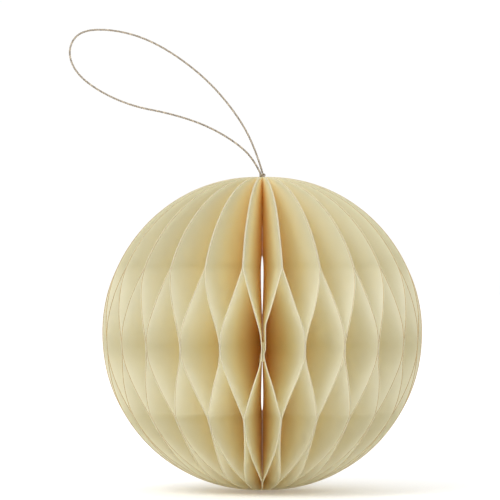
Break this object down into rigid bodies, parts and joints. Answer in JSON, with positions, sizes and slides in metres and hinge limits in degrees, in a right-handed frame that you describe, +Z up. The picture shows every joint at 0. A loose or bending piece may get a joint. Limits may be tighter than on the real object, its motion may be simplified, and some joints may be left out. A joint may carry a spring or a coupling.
{
  "type": "honeycomb ball ornament",
  "caption": "Round hanging ornament of folded paper discs glued in a honeycomb round a hollow core; opens from a flat fan and hangs from a thin cord loop.",
  "frame": {"origin": "top end of the ball's axis, where the hanging loop leaves the ball", "axes": "+Z up along the ball's axis, out through the hanging loop; -Y out of the open seam"},
  "size_m": [0.0937, 0.0849, 0.1223],
  "materials": {
    "paper": "matt uncoated paper, cream, with thin gold edges",
    "glue": "dried white paper glue, satin",
    "magnet": "matt cream paper label over a thin magnet",
    "cord": "twisted metallic gold thread"
  },
  "bodies": {
    "pleat_00": {"disc_00": "paper", "glue_00": "glue"},
    "pleat_01": {"disc_01": "paper", "glue_01": "glue"},
    "pleat_02": {"disc_02": "paper", "glue_02": "glue"},
    "pleat_03": {"disc_03": "paper", "glue_03": "glue"},
    "pleat_04": {"disc_04": "paper", "glue_04": "glue"},
    "pleat_05": {"disc_05": "paper", "glue_05": "glue"},
    "pleat_06": {"disc_06": "paper", "glue_06": "glue"},
    "pleat_07": {"disc_07": "paper", "glue_07": "glue"},
    "pleat_08": {"disc_08": "paper", "glue_08": "glue"},
    "pleat_09": {"disc_09": "paper", "glue_09": "glue"},
    "pleat_10": {"disc_10": "paper", "glue_10": "glue"},
    "pleat_11": {"disc_11": "paper", "glue_11": "glue"},
    "pleat_12": {"disc_12": "paper", "glue_12": "glue", "cord": "cord", "cord_knot": "cord", "cord_tails": "cord", "stop_knot": "cord", "glue_dab": "glue"},
    "pleat_13": {"disc_13": "paper", "glue_13": "glue"},
    "pleat_14": {"disc_14": "paper", "glue_14": "glue"},
    "pleat_15": {"disc_15": "paper", "glue_15": "glue"},
    "pleat_16": {"disc_16": "paper", "glue_16": "glue"},
    "pleat_17": {"disc_17": "paper", "glue_17": "glue"},
    "pleat_18": {"disc_18": "paper", "glue_18": "glue"},
    "pleat_19": {"disc_19": "paper", "glue_19": "glue"},
    "pleat_20": {"disc_20": "paper", "glue_20": "glue"},
    "pleat_21": {"disc_21": "paper", "glue_21": "glue"},
    "pleat_22": {"disc_22": "paper", "glue_22": "glue"},
    "pleat_23": {"disc_23": "paper", "glue_23": "glue"},
    "magnet_first": {"magnet_first": "magnet"},
    "magnet_last": {"magnet_last": "magnet"}
  },
  "joints": [
    {"name": "fold_11", "type": "hinge", "parent": "pleat_12", "child": "pleat_11", "pos_m": [0, 0.0016, -0.0415], "axis": [0, 0, 1], "range_deg": [0, 15], "deforming": ["disc_11", "glue_11", "disc_12", "glue_12"]},
    {"name": "fold_10", "type": "hinge", "parent": "pleat_11", "child": "pleat_10", "pos_m": [0.00041, 0.00154, -0.0415], "axis": [0, 0, 1], "range_deg": [0, 15], "deforming": ["disc_10", "glue_10"]},
    {"name": "fold_09", "type": "hinge", "parent": "pleat_10", "child": "pleat_09", "pos_m": [0.0008, 0.00138, -0.0415], "axis": [0, 0, 1], "range_deg": [0, 15], "deforming": ["disc_09", "glue_09"]},
    {"name": "fold_08", "type": "hinge", "parent": "pleat_09", "child": "pleat_08", "pos_m": [0.00113, 0.00113, -0.0415], "axis": [0, 0, 1], "range_deg": [0, 15], "deforming": ["disc_08", "glue_08"]},
    {"name": "fold_07", "type": "hinge", "parent": "pleat_08", "child": "pleat_07", "pos_m": [0.00138, 0.0008, -0.0415], "axis": [0, 0, 1], "range_deg": [0, 15], "deforming": ["disc_07", "glue_07"]},
    {"name": "fold_06", "type": "hinge", "parent": "pleat_07", "child": "pleat_06", "pos_m": [0.00154, 0.00041, -0.0415], "axis": [0, 0, 1], "range_deg": [0, 15], "deforming": ["disc_06", "glue_06"]},
    {"name": "fold_05", "type": "hinge", "parent": "pleat_06", "child": "pleat_05", "pos_m": [0.0016, 0, -0.0415], "axis": [0, 0, 1], "range_deg": [0, 15], "deforming": ["disc_05", "glue_05"]},
    {"name": "fold_04", "type": "hinge", "parent": "pleat_05", "child": "pleat_04", "pos_m": [0.00154, -0.00041, -0.0415], "axis": [0, 0, 1], "range_deg": [0, 15], "deforming": ["disc_04", "glue_04"]},
    {"name": "fold_03", "type": "hinge", "parent": "pleat_04", "child": "pleat_03", "pos_m": [0.00138, -0.0008, -0.0415], "axis": [0, 0, 1], "range_deg": [0, 15], "deforming": ["disc_03", "glue_03"]},
    {"name": "fold_02", "type": "hinge", "parent": "pleat_03", "child": "pleat_02", "pos_m": [0.00113, -0.00113, -0.0415], "axis": [0, 0, 1], "range_deg": [0, 15], "deforming": ["disc_02", "glue_02"]},
    {"name": "fold_01", "type": "hinge", "parent": "pleat_02", "child": "pleat_01", "pos_m": [0.0008, -0.00138, -0.0415], "axis": [0, 0, 1], "range_deg": [0, 15], "deforming": ["disc_01", "glue_01"]},
    {"name": "fold_00", "type": "hinge", "parent": "pleat_01", "child": "pleat_00", "pos_m": [0.00041, -0.00154, -0.0415], "axis": [0, 0, 1], "range_deg": [0, 15], "deforming": ["disc_00", "glue_00"]},
    {"name": "fold_13", "type": "hinge", "parent": "pleat_12", "child": "pleat_13", "pos_m": [-0.00041, 0.00154, -0.0415], "axis": [0, 0, -1], "range_deg": [0, 15], "deforming": ["disc_13", "glue_13"]},
    {"name": "fold_14", "type": "hinge", "parent": "pleat_13", "child": "pleat_14", "pos_m": [-0.0008, 0.00138, -0.0415], "axis": [0, 0, -1], "range_deg": [0, 15], "deforming": ["disc_14", "glue_14"]},
    {"name": "fold_15", "type": "hinge", "parent": "pleat_14", "child": "pleat_15", "pos_m": [-0.00113, 0.00113, -0.0415], "axis": [0, 0, -1], "range_deg": [0, 15], "deforming": ["disc_15", "glue_15"]},
    {"name": "fold_16", "type": "hinge", "parent": "pleat_15", "child": "pleat_16", "pos_m": [-0.00138, 0.0008, -0.0415], "axis": [0, 0, -1], "range_deg": [0, 15], "deforming": ["disc_16", "glue_16"]},
    {"name": "fold_17", "type": "hinge", "parent": "pleat_16", "child": "pleat_17", "pos_m": [-0.00154, 0.00041, -0.0415], "axis": [0, 0, -1], "range_deg": [0, 15], "deforming": ["disc_17", "glue_17"]},
    {"name": "fold_18", "type": "hinge", "parent": "pleat_17", "child": "pleat_18", "pos_m": [-0.0016, 0, -0.0415], "axis": [0, 0, -1], "range_deg": [0, 15], "deforming": ["disc_18", "glue_18"]},
    {"name": "fold_19", "type": "hinge", "parent": "pleat_18", "child": "pleat_19", "pos_m": [-0.00154, -0.00041, -0.0415], "axis": [0, 0, -1], "range_deg": [0, 15], "deforming": ["disc_19", "glue_19"]},
    {"name": "fold_20", "type": "hinge", "parent": "pleat_19", "child": "pleat_20", "pos_m": [-0.00138, -0.0008, -0.0415], "axis": [0, 0, -1], "range_deg": [0, 15], "deforming": ["disc_20", "glue_20"]},
    {"name": "fold_21", "type": "hinge", "parent": "pleat_20", "child": "pleat_21", "pos_m": [-0.00113, -0.00113, -0.0415], "axis": [0, 0, -1], "range_deg": [0, 15], "deforming": ["disc_21", "glue_21"]},
    {"name": "fold_22", "type": "hinge", "parent": "pleat_21", "child": "pleat_22", "pos_m": [-0.0008, -0.00138, -0.0415], "axis": [0, 0, -1], "range_deg": [0, 15], "deforming": ["disc_22", "glue_22"]},
    {"name": "fold_23", "type": "hinge", "parent": "pleat_22", "child": "pleat_23", "pos_m": [-0.00041, -0.00154, -0.0415], "axis": [0, 0, -1], "range_deg": [0, 15], "deforming": ["disc_23", "glue_23"]},
    {"name": "magnet_first_swing", "type": "hinge", "parent": "pleat_00", "child": "magnet_first", "pos_m": [0.00021, -0.0016, -0.0415], "axis": [0, 0, 1], "range_deg": [0, 7.5]},
    {"name": "magnet_last_swing", "type": "hinge", "parent": "pleat_23", "child": "magnet_last", "pos_m": [-0.00021, -0.0016, -0.0415], "axis": [0, 0, -1], "range_deg": [0, 7.5]}
  ],
  "couplings": [
    {"joint": "fold_10", "follows": "fold_11", "ratio": 1},
    {"joint": "fold_09", "follows": "fold_11", "ratio": 1},
    {"joint": "fold_08", "follows": "fold_11", "ratio": 1},
    {"joint": "fold_07", "follows": "fold_11", "ratio": 1},
    {"joint": "fold_06", "follows": "fold_11", "ratio": 1},
    {"joint": "fold_05", "follows": "fold_11", "ratio": 1},
    {"joint": "fold_04", "follows": "fold_11", "ratio": 1},
    {"joint": "fold_03", "follows": "fold_11", "ratio": 1},
    {"joint": "fold_02", "follows": "fold_11", "ratio": 1},
    {"joint": "fold_01", "follows": "fold_11", "ratio": 1},
    {"joint": "fold_00", "follows": "fold_11", "ratio": 1},
    {"joint": "fold_13", "follows": "fold_11", "ratio": 1},
    {"joint": "fold_14", "follows": "fold_11", "ratio": 1},
    {"joint": "fold_15", "follows": "fold_11", "ratio": 1},
    {"joint": "fold_16", "follows": "fold_11", "ratio": 1},
    {"joint": "fold_17", "follows": "fold_11", "ratio": 1},
    {"joint": "fold_18", "follows": "fold_11", "ratio": 1},
    {"joint": "fold_19", "follows": "fold_11", "ratio": 1},
    {"joint": "fold_20", "follows": "fold_11", "ratio": 1},
    {"joint": "fold_21", "follows": "fold_11", "ratio": 1},
    {"joint": "fold_22", "follows": "fold_11", "ratio": 1},
    {"joint": "fold_23", "follows": "fold_11", "ratio": 1},
    {"joint": "magnet_first_swing", "follows": "fold_11", "ratio": 0.465},
    {"joint": "magnet_last_swing", "follows": "fold_11", "ratio": 0.465}
  ]
}
